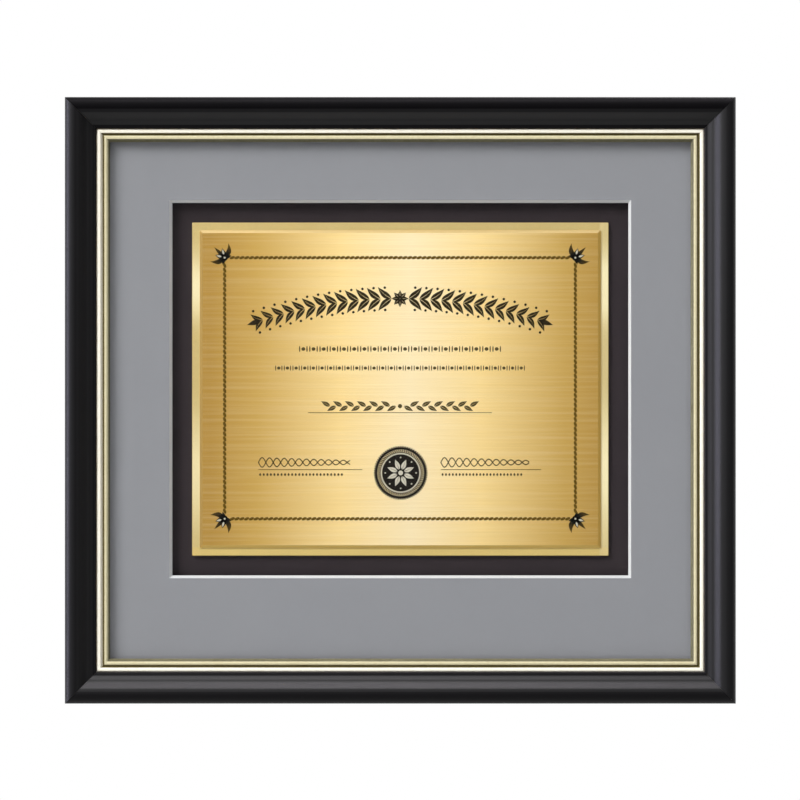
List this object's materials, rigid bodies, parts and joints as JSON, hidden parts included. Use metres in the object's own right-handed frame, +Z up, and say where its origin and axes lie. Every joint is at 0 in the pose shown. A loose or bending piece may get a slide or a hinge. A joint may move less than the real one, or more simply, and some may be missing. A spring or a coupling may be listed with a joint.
{
  "type": "framed certificate plaque",
  "caption": "Wall plaque with a black mitred frame, gilt slip, grey window mat and engraved gold plate, with turn buttons and D-ring hangers at the back.",
  "frame": {"origin": "centre of the plaque on the wall plane that the bumpers touch", "axes": "+X right seen from the front, +Y back towards the wall, +Z up"},
  "size_m": [0.4064, 0.0291, 0.3674],
  "materials": {
    "black_moulding": "black satin lacquer, bare at the back",
    "gilt_slip": "pale gilding with a dark groove",
    "foam_board": "matte paper faces",
    "turn_button_brass": "stamped and plated",
    "zinc_screw": "bright zinc",
    "bumper_rubber": "matte",
    "nail_steel": "plain",
    "nickel_steel": "nickel plated",
    "clear_glass": "clear, low reflection",
    "grey_mat": "grey paper face, white core",
    "black_mount": "matte black paper",
    "hardboard": "brown, fine fibre",
    "polished_brass": "polished and lacquered",
    "brushed_brass": "brushed along its length",
    "mounting_tape": "matte",
    "engraving_black": "matte black fill in the engraving"
  },
  "bodies": {
    "frame": {"backing_board": "hardboard", "base_plate": "polished_brass", "bumper_bottom_left": "bumper_rubber", "bumper_bottom_right": "bumper_rubber", "bumper_top_left": "bumper_rubber", "bumper_top_right": "bumper_rubber", "face_plate": "brushed_brass", "glazing": "clear_glass", "hanger_screw_left": "zinc_screw", "hanger_screw_right": "zinc_screw", "hanger_strap_left": "nickel_steel", "hanger_strap_right": "nickel_steel", "mount_board": "black_mount", "plate_tape_1": "mounting_tape", "plate_tape_2": "mounting_tape", "rail_bottom": "black_moulding", "rail_left": "black_moulding", "rail_right": "black_moulding", "rail_top": "black_moulding", "slip_bottom": "gilt_slip", "slip_left": "gilt_slip", "slip_right": "gilt_slip", "slip_top": "gilt_slip", "spacer_bottom": "foam_board", "spacer_left": "foam_board", "spacer_right": "foam_board", "spacer_top": "foam_board", "turn_button_screw_bottom_1": "zinc_screw", "turn_button_screw_bottom_2": "zinc_screw", "turn_button_screw_left_1": "zinc_screw", "turn_button_screw_left_2": "zinc_screw", "turn_button_screw_right_1": "zinc_screw", "turn_button_screw_right_2": "zinc_screw", "turn_button_screw_top_1": "zinc_screw", "turn_button_screw_top_2": "zinc_screw", "v_nail_bottom_left_1": "nail_steel", "v_nail_bottom_left_2": "nail_steel", "v_nail_bottom_right_1": "nail_steel", "v_nail_bottom_right_2": "nail_steel", "v_nail_top_left_1": "nail_steel", "v_nail_top_left_2": "nail_steel", "v_nail_top_right_1": "nail_steel", "v_nail_top_right_2": "nail_steel", "window_mat": "grey_mat"},
    "button_bottom_1": {"turn_button_bottom_1": "turn_button_brass"},
    "button_bottom_2": {"turn_button_bottom_2": "turn_button_brass"},
    "button_top_1": {"turn_button_top_1": "turn_button_brass"},
    "button_top_2": {"turn_button_top_2": "turn_button_brass"},
    "button_left_1": {"turn_button_left_1": "turn_button_brass"},
    "button_left_2": {"turn_button_left_2": "turn_button_brass"},
    "button_right_1": {"turn_button_right_1": "turn_button_brass"},
    "button_right_2": {"turn_button_right_2": "turn_button_brass"},
    "ring_left": {"hanger_ring_left": "nickel_steel"},
    "ring_right": {"hanger_ring_right": "nickel_steel"}
  },
  "joints": [
    {"name": "button_bottom_1_turn", "type": "hinge", "parent": "frame", "child": "button_bottom_1", "pos_m": [-0.1, -0.0041, -0.17735], "axis": [0, 1, 0], "continuous": true},
    {"name": "button_bottom_2_turn", "type": "hinge", "parent": "frame", "child": "button_bottom_2", "pos_m": [0.1, -0.0041, -0.17735], "axis": [0, 1, 0], "continuous": true},
    {"name": "button_top_1_turn", "type": "hinge", "parent": "frame", "child": "button_top_1", "pos_m": [0.1, -0.0041, 0.17735], "axis": [0, 1, 0], "continuous": true},
    {"name": "button_top_2_turn", "type": "hinge", "parent": "frame", "child": "button_top_2", "pos_m": [-0.1, -0.0041, 0.17735], "axis": [0, 1, 0], "continuous": true},
    {"name": "button_left_1_turn", "type": "hinge", "parent": "frame", "child": "button_left_1", "pos_m": [-0.19685, -0.0041, 0.105], "axis": [0, 1, 0], "continuous": true},
    {"name": "button_left_2_turn", "type": "hinge", "parent": "frame", "child": "button_left_2", "pos_m": [-0.19685, -0.0041, -0.105], "axis": [0, 1, 0], "continuous": true},
    {"name": "button_right_1_turn", "type": "hinge", "parent": "frame", "child": "button_right_1", "pos_m": [0.19685, -0.0041, -0.105], "axis": [0, 1, 0], "continuous": true},
    {"name": "button_right_2_turn", "type": "hinge", "parent": "frame", "child": "button_right_2", "pos_m": [0.19685, -0.0041, 0.105], "axis": [0, 1, 0], "continuous": true},
    {"name": "ring_left_swing", "type": "hinge", "parent": "frame", "child": "ring_left", "pos_m": [-0.196, -0.0024, 0.06], "axis": [1, 0, 0], "range_deg": [0, 180]},
    {"name": "ring_right_swing", "type": "hinge", "parent": "frame", "child": "ring_right", "pos_m": [0.196, -0.0024, 0.06], "axis": [1, 0, 0], "range_deg": [0, 180]}
  ]
}
